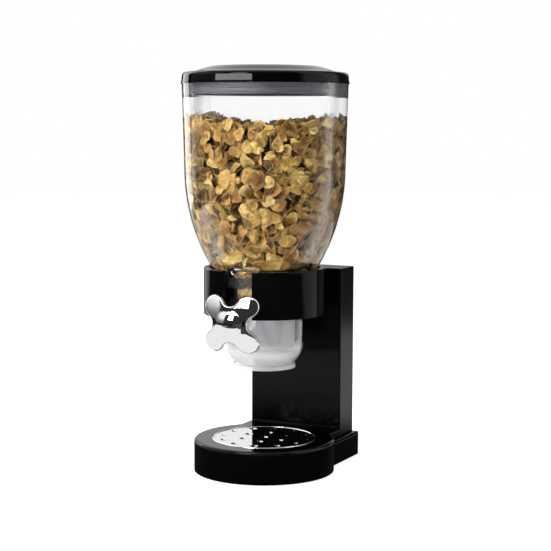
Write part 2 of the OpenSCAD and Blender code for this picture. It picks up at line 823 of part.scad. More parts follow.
// Knob: a clover cut from the crowned plate, with a dome and a socket
module knob() {
    ball_r = (dome_r * dome_r + dome_h * dome_h) / (2 * dome_h);
    lift = crown_fall(lobe_distance + lobe_r);
    front = lift + knob_t;
    color(chrome) on_shaft() translate([0, 0, knob_back]) difference() {
        union() {
            intersection() {
                linear_extrude(front + 1) clover();
                crowned_plate(lift, front);
            }
            cylinder(r = knob_boss_r, h = lift + 1, $fn = 64);
            intersection() {
                translate([0, 0, front + dome_h - ball_r]) sphere(ball_r);
                translate([0, 0, lift + 1]) cylinder(r = dome_r, h = knob_t + dome_h, $fn = 64);
            }
        }
        translate([0, 0, -1]) cylinder(r = shaft_r + fixed_gap / 2, h = lift + 2.2, $fn = 48);
    }
}

module knob_washer() {
    color(grey) on_shaft() translate([0, 0, washer_start]) difference() {
        cylinder(r = bushing_r, h = washer_t, $fn = 64);
        translate([0, 0, -1]) cylinder(r = shaft_r + fixed_gap / 2, h = washer_t + 2, $fn = 48);
    }
}

// Half profile of the lid, this far inside its outer face
module lid_profile(inset) {
    side_r = lid_r - bead_out;
    polygon(concat([[0, rim_z]],
                   inset > 0 ? [[side_r - inset, rim_z]]
                             : [[lid_r, rim_z], [lid_r, rim_z + bead_h], [side_r, rim_z + bead_h]],
                   arc(lid_side_r - lid_edge, border_z - lid_edge, lid_edge - inset, 0, 90, 8),
                   crown_points(crown_r, inset, 20), [[0, border_z + crown_h - inset]]));
}

// Height of the raised middle above the border, at this distance from the axis
function crown_rise(r) =
    r <= crown_level_r ? crown_h
        : crown_h * (1 + cos(180 * (r - crown_level_r) / (crown_r - crown_level_r))) / 2;

// Points from this radius in to the level top, this far under the lid's upper face
function crown_points(from_r, inset, steps) =
    [for (i = [0:steps]) let (r = from_r + (crown_level_r - from_r) * i / steps)
        [r, border_z + crown_rise(r) - inset]];

module lid_cap() {
    color(black) on_axis() rotate_extrude() difference() {
        lid_profile(0);
        lid_profile(lid_wall);
    }
}

// Ring under the lid that reaches into the hopper and carries the seal
module lid_plug() {
    low = rim_z - plug_depth;
    in_r = plug_r - plug_wall;
    lip_out = plug_r + 0.7;
    under = lid_wall + fixed_gap;
    color(grey) on_axis() rotate_extrude() {
        polygon([[in_r, low], [plug_r, low], [plug_r, border_z + crown_rise(plug_r) - under],
                 [in_r, border_z + crown_rise(in_r) - under]]);
        translate([plug_r - 1, low]) square([lip_out - plug_r + 1, plug_lip]);
        translate([plug_r - 1, low + plug_lip + seal_h + 2 * fixed_gap])
            square([lip_out - plug_r + 1, plug_lip]);
    }
}

module lid_seal() {
    low = rim_z - plug_depth + plug_lip + fixed_gap;
    inner = plug_r + fixed_gap / 2;
    rib_r = (seal_r - inner) / 2;
    color(grey) on_axis() rotate_extrude() {
        translate([inner, low]) square([seal_r - rib_r - inner, seal_h]);
        for (z = [low + rib_r, low + seal_h - rib_r])
            translate([seal_r - rib_r, z]) circle(rib_r, $fn = 32);
    }
}

base_shell();
base_plate();
base_feet();
base_screws();
crumb_grille();
column_shell();
column_cover();
cover_screws();
column_screws();
collar();
collar_screws();
hopper();
metering_tube();
outlet_cup();
front_bushing();
rear_bushing();
shaft();
paddle_core();
paddle_wheel();
knob();
knob_washer();
lid_cap();
lid_plug();
lid_seal();
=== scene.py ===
import json
import math

import bpy
import numpy as np
from mathutils import Matrix, Vector
from mathutils.bvhtree import BVHTree


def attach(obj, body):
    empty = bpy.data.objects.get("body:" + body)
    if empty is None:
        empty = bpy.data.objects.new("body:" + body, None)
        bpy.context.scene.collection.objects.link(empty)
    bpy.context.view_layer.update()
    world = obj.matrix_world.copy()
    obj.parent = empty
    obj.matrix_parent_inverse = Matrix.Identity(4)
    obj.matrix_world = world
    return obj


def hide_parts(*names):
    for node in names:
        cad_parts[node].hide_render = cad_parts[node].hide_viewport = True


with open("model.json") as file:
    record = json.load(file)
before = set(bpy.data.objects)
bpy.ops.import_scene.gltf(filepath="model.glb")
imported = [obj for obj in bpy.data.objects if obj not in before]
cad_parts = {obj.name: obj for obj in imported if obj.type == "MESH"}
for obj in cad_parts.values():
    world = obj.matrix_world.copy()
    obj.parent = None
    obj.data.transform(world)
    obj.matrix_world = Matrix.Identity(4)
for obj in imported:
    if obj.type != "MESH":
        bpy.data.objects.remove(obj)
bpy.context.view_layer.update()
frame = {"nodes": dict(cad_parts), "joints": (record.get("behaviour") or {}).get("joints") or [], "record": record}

MM = 0.001

# The photograph's frame, in pixels, and the view fitted to it
IMAGE_SIZE = 551
FOCAL_PX = 1473.5
AXIS_COLUMN_PX = 264.69
CAMERA_AZIMUTH = math.radians(26.98)
CAMERA_PITCH = math.radians(6.03)
CAMERA_ROLL = math.radians(0.174)
CAMERA_DISTANCE = 1.4245
CAMERA_HEIGHT = 0.34276
SENSOR_MM = 36.0

# The wheel's middle, which lies on the canister's axis, taken from the frame
wheel_joint = next(j for j in frame["joints"] if j["name"] == "wheel_turn")
AXIS_Y = wheel_joint["pos_m"][1]
SHAFT_Z = wheel_joint["pos_m"][2]


# Node trees

class NodeTree:
    """The nodes of one material or world. Inputs take a value or another node's output."""

    # The Mix node's first and second input and its result, by the kind of value
    MIX_SOCKETS = {"FLOAT": (2, 3, 0), "RGBA": (6, 7, 2)}

    def __init__(self, owner, output):
        owner.use_nodes = True
        self.tree = owner.node_tree
        self.tree.nodes.clear()
        self.output = self.add(output)

    def add(self, kind, **settings):
        node = self.tree.nodes.new("ShaderNode" + kind)
        for key, value in settings.items():
            setattr(node, key, value)
        return node

    def feed(self, socket, value):
        if isinstance(value, bpy.types.NodeSocket):
            self.tree.links.new(value, socket)
        else:
            socket.default_value = value

    def show(self, shader):
        """Makes this shader the one that is seen."""
        self.feed(self.output.inputs["Surface"], shader)

    def math(self, operation, a, b=None):
        node = self.add("Math", operation=operation)
        self.feed(node.inputs[0], a)
        if b is not None:
            self.feed(node.inputs[1], b)
        return node.outputs["Value"]

    def span(self, value, start, end, low, high, kind="SMOOTHSTEP"):
        """A number that goes from low where value is start to high where it is end."""
        node = self.add("MapRange", interpolation_type=kind)
        for key, number in (("Value", value), ("From Min", start), ("From Max", end),
                            ("To Min", low), ("To Max", high)):
            self.feed(node.inputs[key], number)
        return node.outputs["Result"]

    def between(self, share, first, second, kind="FLOAT", **settings):
        """A number between two others, or a colour where kind is RGBA."""
        node = self.add("Mix", data_type=kind, **settings)
        first_socket, second_socket, result = self.MIX_SOCKETS[kind]
        for index, value in ((0, share), (first_socket, first), (second_socket, second)):
            self.feed(node.inputs[index], value)
        return node.outputs[result]

    def mix(self, share, first, second):
        """The first shader with this share of the second."""
        node = self.add("MixShader")
        for socket, value in zip(node.inputs, (share, first, second)):
            self.feed(socket, value)
        return node.outputs["Shader"]

    def transparent(self, colour):
        node = self.add("BsdfTransparent")
        node.inputs["Color"].default_value = (*colour, 1)
        return node.outputs["BSDF"]

    def emission(self, strength):
        node = self.add("Emission")
        self.feed(node.inputs["Strength"], strength)
        return node.outputs["Emission"]

    def ramp(self, value, stops):
        """Colour ramp over a value, stops as (position, colour)."""
        node = self.add("ValToRGB")
        elements = node.color_ramp.elements
        while len(elements) < len(stops):
            elements.new(0.5)
        for element, (position, colour) in zip(elements, stops):
            element.position = position
            element.color = (*colour, 1)
        self.feed(node.inputs["Fac"], value)
        return node.outputs["Color"]


class Shader(NodeTree):
    """One material, built round a Principled shader."""

    def __init__(self, name):
        self.material = bpy.data.materials.new(name)
        super().__init__(self.material, "OutputMaterial")
        self.surface = self.add("BsdfPrincipled")
        self.body = self.surface.outputs["BSDF"]
        self.show(self.body)

    def set(self, **values):
        for key, value in values.items():
            self.feed(self.surface.inputs[key.replace("_", " ")], value)

    def own_place(self):
        """Place in the piece's own coordinates, which move with it."""
        return self.add("TexCoord").outputs["Object"]

    def own_height(self):
        split = self.add("SeparateXYZ")
        self.feed(split.inputs["Vector"], self.own_place())
        return split.outputs["Z"]

    def noise(self, size, detail=2.0, roughness=0.5):
        """Noise whose features are about this size in metres."""
        node = self.add("TexNoise")
        for key, value in (("Vector", self.own_place()), ("Scale", 1 / size),
                           ("Detail", detail), ("Roughness", roughness)):
            self.feed(node.inputs[key], value)
        return node.outputs["Fac"]

    def spread(self, value, low, high):
        """The value from 0 to 1 as a number from low to high."""
        return self.span(value, 0.0, 1.0, low, high, "LINEAR")

    def bump(self, value, height, strength=1.0, after=None):
        """Bumps this high in metres, added to those of an earlier call."""
        node = self.add("Bump")
        for key, number in (("Height", value), ("Distance", height), ("Strength", strength)):
            self.feed(node.inputs[key], number)
        if after is not None:
            self.feed(node.inputs["Normal"], after)
        self.set(Normal=node.outputs["Normal"])
        return node.outputs["Normal"]


# Materials

BLACK = (0.0009, 0.0009, 0.0011)
CLEAR = (0.985, 0.985, 0.99)
FROST = (0.50, 0.505, 0.52)
LID_GREY = (0.10, 0.10, 0.115)


def shades(colour, factor):
    return [min(1.0, c * factor) for c in colour]


def gloss_plastic(name, roughness=(0.035, 0.075), ior=1.27):
    """Polished black plastic: faint moulding waves and slightly uneven gloss."""
    s = Shader(name)
    s.set(Base_Color=(*BLACK, 1), IOR=ior)
    s.set(Roughness=s.spread(s.noise(0.03, 4, 0.6), *roughness))
    s.bump(s.noise(0.02, 1), 0.00012, 0.25)
    return s.material


def satin_plastic(name, colour):
    """Moulded plastic with a fine grain."""
    s = Shader(name)
    tone = s.noise(0.02, 3)
    s.set(Base_Color=s.ramp(tone, [(0.3, shades(colour, 0.85)), (0.7, shades(colour, 1.15))]))
    s.set(Roughness=0.42, IOR=1.46)
    s.bump(s.noise(0.0008, 2), 0.0001, 0.3)
    return s.material


def chrome(name):
    s = Shader(name)
    s.set(Base_Color=(0.88, 0.885, 0.9, 1), Metallic=1.0)
    s.set(Roughness=s.spread(s.noise(0.012, 4, 0.65), 0.02, 0.06))
    s.bump(s.noise(0.01, 1), 0.00006, 0.2)
    return s.material


def brushed_steel(name):
    s = Shader(name)
    s.set(Base_Color=(0.52, 0.52, 0.53, 1), Metallic=1.0)
    s.set(Roughness=s.spread(s.noise(0.002, 3), 0.22, 0.4))
    return s.material


def rubber(name, colour):
    s = Shader(name)
    s.set(Base_Color=(*colour, 1), Roughness=0.75, IOR=1.45)
    s.bump(s.noise(0.0006, 2), 0.0002, 0.4)
    return s.material


def silicone(name, colour):
    s = Shader(name)
    s.set(Base_Color=s.ramp(s.noise(0.015, 3), [(0.3, shades(colour, 0.92)), (0.7, colour)]))
    s.set(Roughness=0.38, IOR=1.43, Subsurface_Weight=0.15, Subsurface_Scale=0.004)
    s.bump(s.noise(0.001, 2), 0.00008, 0.3)
    return s.material


def clear_plastic(name, milk=None, clear_front=None):
    """Clear moulded plastic, with painted shade where the wall is seen edge-on, that lets the
    lamps' light through to what is inside. Downwards from the second height of milk to the first
    it turns milky. Clear_front is the share of it that vanishes where it faces the viewer."""
    s = Shader(name)
    layer = s.add("LayerWeight")
    layer.inputs["Blend"].default_value = 0.5
    facing = layer.outputs["Facing"]
    # Painted shade: the plastic's colour darkens to half where the wall is seen edge-on
    painted_edge_shade = shades(CLEAR, 0.5)
    s.set(Base_Color=s.ramp(facing, [(0.0, CLEAR), (0.72, CLEAR), (0.97, painted_edge_shade)]))
    s.set(Roughness=s.spread(s.noise(0.025, 4, 0.6), 0.004, 0.03))
    s.set(IOR=1.49, Transmission_Weight=1.0)
    s.bump(s.noise(0.03, 1), 0.0001, 0.15)
    body = s.body
    if milk is not None:
        white = s.add("BsdfPrincipled")
        white.inputs["Base Color"].default_value = (0.74, 0.74, 0.75, 1)
        white.inputs["Roughness"].default_value = 0.08
        body = s.mix(s.span(s.own_height(), *milk, 0.4, 0.0), body, white.outputs["BSDF"])
    if clear_front is not None:
        vanished = s.span(facing, 0.30, 0.62, clear_front, 0.0)
        body = s.mix(vanished, body, s.transparent((0.988, 0.988, 0.99)))
    path = s.add("LightPath")
    lighting = s.math("MAXIMUM", path.outputs["Is Shadow Ray"], path.outputs["Is Diffuse Ray"])
    s.show(s.mix(lighting, body, s.transparent((0.93, 0.93, 0.93))))
    return s.material


def frosted_plastic(name, clear_from, clear_to):
    """Light grey plastic that turns clear upwards between two heights for the cereal to show."""
    s = Shader(name)
    s.set(Base_Color=s.ramp(s.noise(0.02, 3), [(0.3, shades(FROST, 0.96)), (0.7, FROST)]))
    s.set(Roughness=0.3, IOR=1.45)
    s.bump(s.noise(0.02, 1), 0.0001, 0.2)
    clear = s.span(s.own_height(), clear_from, clear_to, 0.03, 0.97)
    s.show(s.mix(clear, s.body, s.transparent((0.96, 0.96, 0.96))))
    return s.material


def toasted_flake(name):
    """Corn flake: golden brown, blistered, with a painted highlight at its rim; its darkest tones are painted
    shade.
    """
    s = Shader(name)
    tone = s.add("Attribute", attribute_name="tone").outputs["Fac"]
    rim = s.add("Attribute", attribute_name="rim").outputs["Fac"]
    toast = s.ramp(tone, [
        (0.0, (0.035, 0.011, 0.002)),
        (0.25, (0.24, 0.095, 0.012)),
        (0.6, (0.45, 0.262, 0.055)),
        (1.0, (0.74, 0.545, 0.200))])
    patches = s.ramp(s.noise(0.0035, 4, 0.6), [(0.32, (0.34, 0.25, 0.16)), (0.6, (1.12, 1.1, 1.0))])
    mottled = s.between(0.8, toast, patches, "RGBA", blend_type="MULTIPLY")
    # Painted highlight: towards the rim the flake's colour is blended to a pale gold
    painted_rim_highlight = (0.72, 0.55, 0.24, 1)
    s.set(Base_Color=s.between(s.spread(rim, 0.0, 0.35), mottled, painted_rim_highlight, "RGBA"))
    s.set(Roughness=0.6, IOR=1.4)
    blisters = s.bump(s.noise(0.0045, 3), 0.0016)
    s.bump(s.noise(0.0011, 2), 0.0003, 0.5, after=blisters)
    return s.material


def painted_depth_shade(name):
    """Painted shade for the depth between the flakes: a near-black brown."""
    s = Shader(name)
    tone = s.noise(0.006, 3)
    s.set(Base_Color=s.ramp(tone, [(0.35, (0.012, 0.005, 0.002)), (0.65, (0.07, 0.03, 0.008))]))
    s.set(Roughness=0.9)
    s.bump(tone, 0.003, 0.8)
    return s.material


# Looks of the frame's pieces

# Heights above the lower end of the tube and of the cup
TUBE_CLEAR_FROM, TUBE_CLEAR_TO = 28 * MM, 40 * MM
CUP_MILK_FROM, CUP_MILK_TO = 14.8 * MM, 26.8 * MM
SMOOTH_ANGLE = math.radians(24)
WELD_DISTANCE = 0.002 * MM


def lowest(node):
    """Height of the lowest point of a piece's own mesh."""
    return min(v.co.z for v in frame["nodes"][node].data.vertices)


def paint(obj, material):
    obj.data.materials.clear()
    obj.data.materials.append(material)


def smooth_profile(obj):
    """Shades turned surfaces smoothly across their bands and keeps sharper edges."""
    for attribute in ("custom_normal", "sharp_edge", "sharp_face"):
        if attribute in obj.data.attributes:
            obj.data.attributes.remove(obj.data.attributes[attribute])
    weld = obj.modifiers.new("join_faces", "WELD")
    weld.merge_threshold = WELD_DISTANCE
    crease = obj.modifiers.new("creases", "EDGE_SPLIT")
    crease.split_angle = SMOOTH_ANGLE


tube_low, cup_low = lowest("metering_tube"), lowest("outlet_cup")
piece_looks = {
    "metering_tube": frosted_plastic("tube_plastic", tube_low + TUBE_CLEAR_FROM,
                                     tube_low + TUBE_CLEAR_TO),
    "outlet_cup": clear_plastic("cup_plastic", milk=(cup_low + CUP_MILK_FROM,
                                                     cup_low + CUP_MILK_TO)),
    "hopper": clear_plastic("hopper_plastic", clear_front=0.94),
    "column_shell": gloss_plastic("column_gloss", (0.14, 0.2), 1.25),
    "lid_cap": gloss_plastic("lid_gloss", ior=1.25),
    "lid_plug": satin_plastic("lid_plug_grey", LID_GREY),
    "lid_seal": satin_plastic("lid_seal_grey", LID_GREY),
}
# Looks of the other pieces, by the record's material slots
slot_looks = {
    "black_gloss": gloss_plastic("black_gloss"),
    "black_matte": satin_plastic("black_satin", (0.008, 0.008, 0.009)),
    "rubber": rubber("black_rubber", (0.02, 0.02, 0.02)),
    "steel": brushed_steel("stainless_steel"),
    "chrome": chrome("chrome"),
    "grey_plastic": satin_plastic("grey_plastic", (0.55, 0.56, 0.58)),
    "silicone": silicone("pale_silicone", (0.62, 0.62, 0.62)),
}
for name in ("hopper", "metering_tube", "outlet_cup", "lid_cap", "lid_plug"):
    smooth_profile(frame["nodes"][name])
for part in frame["record"]["subparts"]:
    node, slot = part["node"], part["material_slot"]
    paint(frame["nodes"][node], piece_looks[node] if node in piece_looks else slot_looks[slot])


# Meshes

def mesh_object(name, vertices, faces, material):
    mesh = bpy.data.meshes.new(name)
    mesh.from_pydata([tuple(v) for v in vertices], [], faces)
    mesh.validate()
    mesh.materials.append(material)
    obj = bpy.data.objects.new(name, mesh)
    bpy.context.scene.collection.objects.link(obj)
    return obj


def smooth_mesh(name, vertices, faces, material, body):
    """A smoothly shaded piece that moves with this body of the frame."""
    obj = mesh_object(name, vertices, faces, material)
    obj.data.polygons.foreach_set("use_smooth", [True] * len(obj.data.polygons))
    obj.data.update()
    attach(obj, body)
    return obj


def ring_quads(rings, count):
    """Quads between rings of count vertices. The first ring starts at vertex 1."""
    faces = []
    for r in range(rings - 1):
        a, b = 1 + r * count, 1 + (r + 1) * count
        for i in range(count):
            j = (i + 1) % count
            faces.append((a + i, b + i, b + j, a + j))
    return faces


def ring_faces(rings, count):
    """Quads between rings of count vertices, and fans to the first and last single vertex."""
    faces = ring_quads(rings, count)
    last = 1 + rings * count
    for i in range(count):
        j = (i + 1) % count
        faces.append((0, 1 + i, 1 + j))
        faces.append((last, last - count + j, last - count + i))
    return faces


# Knob: a clover of four lobes, crowned, with soft edges and a dome in the middle

LOBE_DISTANCE, LOBE_RADIUS = 24.3 * MM, 10.3 * MM
WAIST_RADIUS = 17.5 * MM
lobe_xy = LOBE_DISTANCE / math.sqrt(2)
HOLLOW_RADIUS = (((WAIST_RADIUS - lobe_xy) ** 2 + lobe_xy ** 2 - LOBE_RADIUS ** 2)
                 / (2 * (LOBE_RADIUS - WAIST_RADIUS + lobe_xy)))
HOLLOW_DISTANCE = WAIST_RADIUS + HOLLOW_RADIUS
HOLLOW_STEPS, LOBE_STEPS = 12, 28
KNOB_CROWN_RADIUS = 75 * MM
KNOB_FRONT = 75.4 * MM
KNOB_THICKNESS = 5.2 * MM
KNOB_EDGE = 0.9 * MM
KNOB_EDGE_SHARE = 0.8
KNOB_PUFF, KNOB_PUFF_REACH = 0.3 * MM, 3 * MM
KNOB_BACK_LIFT = 0.7 * MM
DOME_RADIUS, DOME_HEIGHT, DOME_SOFTNESS = 11.5 * MM, 3.2 * MM, 0.35 * MM
DOME_SEARCH = DOME_RADIUS * 1.45
KNOB_WIDTH_SHARE, KNOB_TALL_SHARE = 1.025, 0.97
INNER_STEPS, CIRCLE_STEP = 24, 10
HUB_STEPS = 64
# In mm: rings of the knob by their distance inside its edge, and the hub by radius and height
FRONT_INSETS = [0.0, 0.06, 0.2, 0.45, 0.75, 1.1, 1.6, 2.2, 3.0, 4.0, 5.0]
BACK_INSETS = [0.0, 0.5, 1.4]
HUB_PROFILE = [(4.1, 60.4), (8.8, 60.4), (9.3, 60.9), (9.4, 68.6), (10.2, 70.2), (4.1, 70.2)]


def knob_outline(inset):
    """The clover's outline this far inside its edge, anticlockwise from the right-hand waist."""
    half = math.atan2(lobe_xy, HOLLOW_DISTANCE - lobe_xy)
    out = []
    for quarter in range(4):
        turn = quarter * math.pi / 2
        c, s = math.cos(turn), math.sin(turn)
        local = []
        for i in range(HOLLOW_STEPS):
            a = math.pi + half - 2 * half * i / HOLLOW_STEPS
            r = HOLLOW_RADIUS + inset
            local.append((HOLLOW_DISTANCE + r * math.cos(a), r * math.sin(a)))
        for i in range(LOBE_STEPS):
            a = -half + (math.pi / 2 + 2 * half) * i / LOBE_STEPS
            r = LOBE_RADIUS - inset
            local.append((lobe_xy + r * math.cos(a), lobe_xy + r * math.sin(a)))
        out += [(x * c - y * s, x * s + y * c) for x, y in local]
    return out


def crown_drop(r):
    """How far the crowned plate falls back from its middle at this radius."""
    return KNOB_CROWN_RADIUS - math.sqrt(KNOB_CROWN_RADIUS ** 2 - r * r)


def knob_height(x, y, inset):
    """Height of the knob's front above the shaft's middle, out from the canister's axis."""
    r = math.hypot(x, y)
    edge = max(0.0, 1 - inset / KNOB_EDGE)
    rounding = KNOB_EDGE * (1 - math.sqrt(max(0.0, 1 - edge * edge)))
    puff = KNOB_PUFF * max(0.0, 1 - inset / KNOB_PUFF_REACH) ** 2
    plate = KNOB_FRONT - crown_drop(r) - rounding * KNOB_EDGE_SHARE - puff
    if r >= DOME_SEARCH:
        return plate
    ball = (DOME_RADIUS ** 2 + DOME_HEIGHT ** 2) / (2 * DOME_HEIGHT)
    dome = KNOB_FRONT + DOME_HEIGHT - ball + math.sqrt(max(0.0, ball * ball - r * r))
    h = max(0.0, min(1.0, 0.5 + (dome - plate) / (2 * DOME_SOFTNESS)))
    return plate * (1 - h) + dome * h + DOME_SOFTNESS * h * (1 - h)


def knob_front_rings():
    """Rings of the front from its middle out to the edge, round inside and lobed outside."""
    rings = []
    for inset in FRONT_INSETS:
        rings.append([(x, y, knob_height(x, y, inset * MM)) for x, y in knob_outline(inset * MM)])
    innermost = FRONT_INSETS[-1] * MM
    for k in range(1, INNER_STEPS):
        ring = []
        for x, y in knob_outline(innermost):
            r = math.hypot(x, y)
            if k <= CIRCLE_STEP:
                size = r + (DOME_RADIUS - r) * k / CIRCLE_STEP
            else:
                size = DOME_RADIUS * (INNER_STEPS - k) / (INNER_STEPS - CIRCLE_STEP)
            px, py = x * size / r, y * size / r
            ring.append((px, py, knob_height(px, py, innermost)))
        rings.append(ring)
    return rings[::-1]


def knob_back_rings():
    """Rings of the back from the edge in to its middle."""
    rings = []
    for inset in BACK_INSETS:
        lift = KNOB_BACK_LIFT * (1 - inset / BACK_INSETS[-1]) ** 2
        rings.append([(x, y, KNOB_FRONT - crown_drop(math.hypot(x, y)) - KNOB_THICKNESS + lift)
                      for x, y in knob_outline(inset * MM)])
    for share in (0.75, 0.5, 0.25):
        inner = [(x * share, y * share) for x, y in knob_outline(BACK_INSETS[-1] * MM)]
        rings.append([(x, y, KNOB_FRONT - crown_drop(math.hypot(x, y)) - KNOB_THICKNESS)
                      for x, y in inner])
    return rings


def build_knob():
    rings = knob_front_rings() + knob_back_rings()
    top = (0, 0, KNOB_FRONT + DOME_HEIGHT)
    bottom = (0, 0, KNOB_FRONT - KNOB_THICKNESS)
    local = [top] + [p for ring in rings for p in ring] + [bottom]
    vertices = [(x * KNOB_WIDTH_SHARE, AXIS_Y - h, SHAFT_Z + y * KNOB_TALL_SHARE)
                for x, y, h in local]
    faces = ring_faces(len(rings), len(rings[0]))
    obj = smooth_mesh("chrome_knob", vertices, faces, slot_looks["chrome"], "wheel")
    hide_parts("knob")


def build_knob_hub():
    """Boss behind the knob that takes the end of the shaft, turned from its profile."""
    vertices, faces = [], []
    n = len(HUB_PROFILE)
    for i in range(HUB_STEPS):
        turn = 2 * math.pi * i / HUB_STEPS
        for r, h in HUB_PROFILE:
            vertices.append((r * MM * math.cos(turn), AXIS_Y - h * MM,
                             SHAFT_Z + r * MM * math.sin(turn)))
        a, b = i * n, ((i + 1) % HUB_STEPS) * n
        for k in range(n):
            faces.append((a + k, a + (k + 1) % n, b + (k + 1) % n, b + k))
    smooth_mesh("knob_hub", vertices, faces, slot_looks["chrome"], "wheel")


# Cereal: curled flakes packed inside the hopper, the funnel and two pockets of the wheel

RNG = np.random.default_rng(41)
FLAKE_SHARES, FLAKE_SIDES = (0.3, 0.56, 0.8, 1.0), 15
FLAKE_RINGS = len(FLAKE_SHARES)
FLAKE_THICKNESS = 0.4 * MM
HEAP_Z, HEAP_RISE = 0.339, 4 * MM
HEAP_DIP, DIP_WIDTH, DIP_PLACE = 8.5 * MM, 20 * MM, 2 * MM
HEAP_WAVE = 1.5 * MM
# The photograph's direction to the right, as x and y
TO_RIGHT = (0.891, 0.454)
WHEEL_R = 26.7 * MM
WHEEL_GAP, WALL_GAP, WALL_SKIN = 1.1 * MM, 0.7 * MM, 0.5 * MM
POCKET_LOW, PADDLE_GAP, POCKET_GAP = 10 * MM, 2.2 * MM, 0.6 * MM
POCKET_HALF_ANGLE = math.radians(30)
CEREAL_LOW = SHAFT_Z + 9 * MM
# Layers from the wall inwards: depth and spacing in mm, tilt of the flakes and their tone, which falls with depth
# as painted shade
LAYERS = ((4.6, 13.2, 0.85, 0.57), (9.5, 12.0, 1.2, 0.24), (15.0, 14, 1.3, 0.0))
LAYER_START, ROW_STEP = 3 * MM, 0.6
# Random shares of the spacing, along and across a row, and distance in or out
ALONG, ACROSS, IN_OUT = 0.35, 0.4, 1.2 * MM
TILT_SPREAD, TURNED_OVER = 0.62, 0.45
# In mm: the smallest flake's radius and how much larger they get
SIZE_LEAST, SIZE_MORE = 5.2, 6.4
TOP_GAP = 2 * MM
TONE_SPREAD = 0.25
# Below BOWL_Z the flakes face down as the wall does, and below FUNNEL_Z they share one tone
BOWL_Z, BOWL_SLOPE, WALL_SLOPE = 0.26, 0.5, 0.05
FUNNEL_Z, FUNNEL_TONE = 0.215, 0.65
TOP_SPACING, TOP_TONE = 10.5 * MM, 0.6
POCKET_FLAKES, POCKET_TONE = 16, 0.55
CORE_DEPTH, CORE_LEAST = 15 * MM, 2 * MM
CORE_STEPS, CORE_LEVELS = 48, 24


def inner_radius_table():
    """Inside radius of the hopper and the funnel at each height, from the frame's meshes."""
    heights = np.linspace(0.150, 0.365, 216)
    radii = np.full(len(heights), 1.0)
    direction = Vector((1, 0.31, 0)).normalized()
    for name in ("hopper", "metering_tube"):
        mesh = frame["nodes"][name].data
        tree = BVHTree.FromPolygons([v.co for v in mesh.vertices],
                                    [tuple(p.vertices) for p in mesh.polygons])
        for i, z in enumerate(heights):
            hit = tree.ray_cast(Vector((0, AXIS_Y, z)), direction, 0.2)
            if hit[0] is not None:
                radii[i] = min(radii[i], hit[3])
    radii[radii > 0.5] = radii[radii < 0.5].min()
    return heights, radii


WALL_HEIGHTS, WALL_RADII = inner_radius_table()


def wall_radius(z):
    return np.interp(z, WALL_HEIGHTS, WALL_RADII)


def top_height(x, y):
    """Height of the heap's surface, higher at the sides than in the middle."""
    u = TO_RIGHT[0] * x + TO_RIGHT[1] * y
    dip = HEAP_DIP * np.exp(-((u - DIP_PLACE) / DIP_WIDTH) ** 2)
    return HEAP_Z + HEAP_RISE - dip + HEAP_WAVE * np.sin(90 * u + 1.0)


def flake_template():
    """One flake's front and back: share and angle of each point, and the faces."""
    angles = np.arange(FLAKE_SIDES) * 2 * np.pi / FLAKE_SIDES
    polar = [(0.0, 0.0)] + [(share, a) for share in FLAKE_SHARES for a in angles]
    front = [(0, 1 + i, 1 + (i + 1) % FLAKE_SIDES) for i in range(FLAKE_SIDES)]
    front += ring_quads(FLAKE_RINGS, FLAKE_SIDES)
    size = len(polar)
    back = [tuple(size + i for i in reversed(f)) for f in front]
    rim = 1 + (FLAKE_RINGS - 1) * FLAKE_SIDES
    side = []
    for i in range(FLAKE_SIDES):
        a, b = rim + i, rim + (i + 1) % FLAKE_SIDES
        side.append((a, size + a, size + b, b))
    return np.array(polar), front + back + side


FLAKE_POLAR, FLAKE_FACES = flake_template()


def flake_shape(size):
    """Points of one curled, blistered flake about the origin, front then back."""
    share, angle = FLAKE_POLAR[:, 0], FLAKE_POLAR[:, 1]
    p = RNG.uniform(0, 2 * np.pi, 5)
    outline = (1 + 0.15 * np.cos(2 * angle + p[0]) + 0.10 * np.cos(3 * angle + p[1])
               + 0.045 * np.cos(5 * angle + p[2]) + 0.03 * np.cos(4 * angle + p[3]))
    r = size * share * outline
    x, y = r * np.cos(angle), r * np.sin(angle) * RNG.uniform(0.68, 1.0)
    curl = RNG.uniform(0.02, 0.075) / MM
    cross = RNG.uniform(-0.02, 0.035) / MM
    twist = RNG.uniform(-0.035, 0.035) / MM
    z = curl * x * x + cross * y * y + twist * x * y
    z += 1.0 * MM * np.sin(x / (2.0 * MM) + p[3]) * np.cos(y / (2.2 * MM) + p[4])
    front = np.stack([x * (1 - 0.15 * share), y, z], 1)
    front[:, 2] -= front[:, 2].mean()
    back = front - FLAKE_THICKNESS * (1 - 0.5 * share[:, None] ** 2) * np.array([0, 0, 1.0])
    return np.concatenate([front, back])


def turned(points, normal, spin):
    """Points turned so that their Z axis lies along normal."""
    n = normal / np.linalg.norm(normal)
    side = np.cross(n, [0.13, 0.29, 0.95])
    side /= np.linalg.norm(side)
    up = np.cross(n, side)
    c, s = math.cos(spin), math.sin(spin)
    basis = np.stack([side * c + up * s, -side * s + up * c, n])
    return points @ basis


def keep_in_hopper(points):
    """Moves a flake inwards until it is clear of the plastic, then presses in what still
    passes it, and keeps it off the wheel."""
    points[:, 2] += max(0.0, CEREAL_LOW - points[:, 2].min())
    x, y = points[:, 0], points[:, 1] - AXIS_Y
    r = np.hypot(x, y)
    excess = (r - wall_radius(points[:, 2]) + WALL_GAP).max()
    if excess > 0:
        middle = np.array([x.mean(), y.mean()])
        length = np.linalg.norm(middle)
        if length > 1e-5:
            points[:, :2] -= middle / length * min(excess, length)
    out = points - [0, AXIS_Y, SHAFT_Z]
    distance = np.linalg.norm(out, axis=1)
    out *= np.maximum(1.0, (WHEEL_R + WHEEL_GAP) / np.maximum(distance, 1e-6))[:, None]
    x, y, z = out[:, 0], out[:, 1], out[:, 2] + SHAFT_Z
    scale = np.minimum(1.0, (wall_radius(z) - WALL_SKIN) / np.maximum(np.hypot(x, y), 1e-6))
    return np.stack([x * scale, y * scale + AXIS_Y, z], 1)


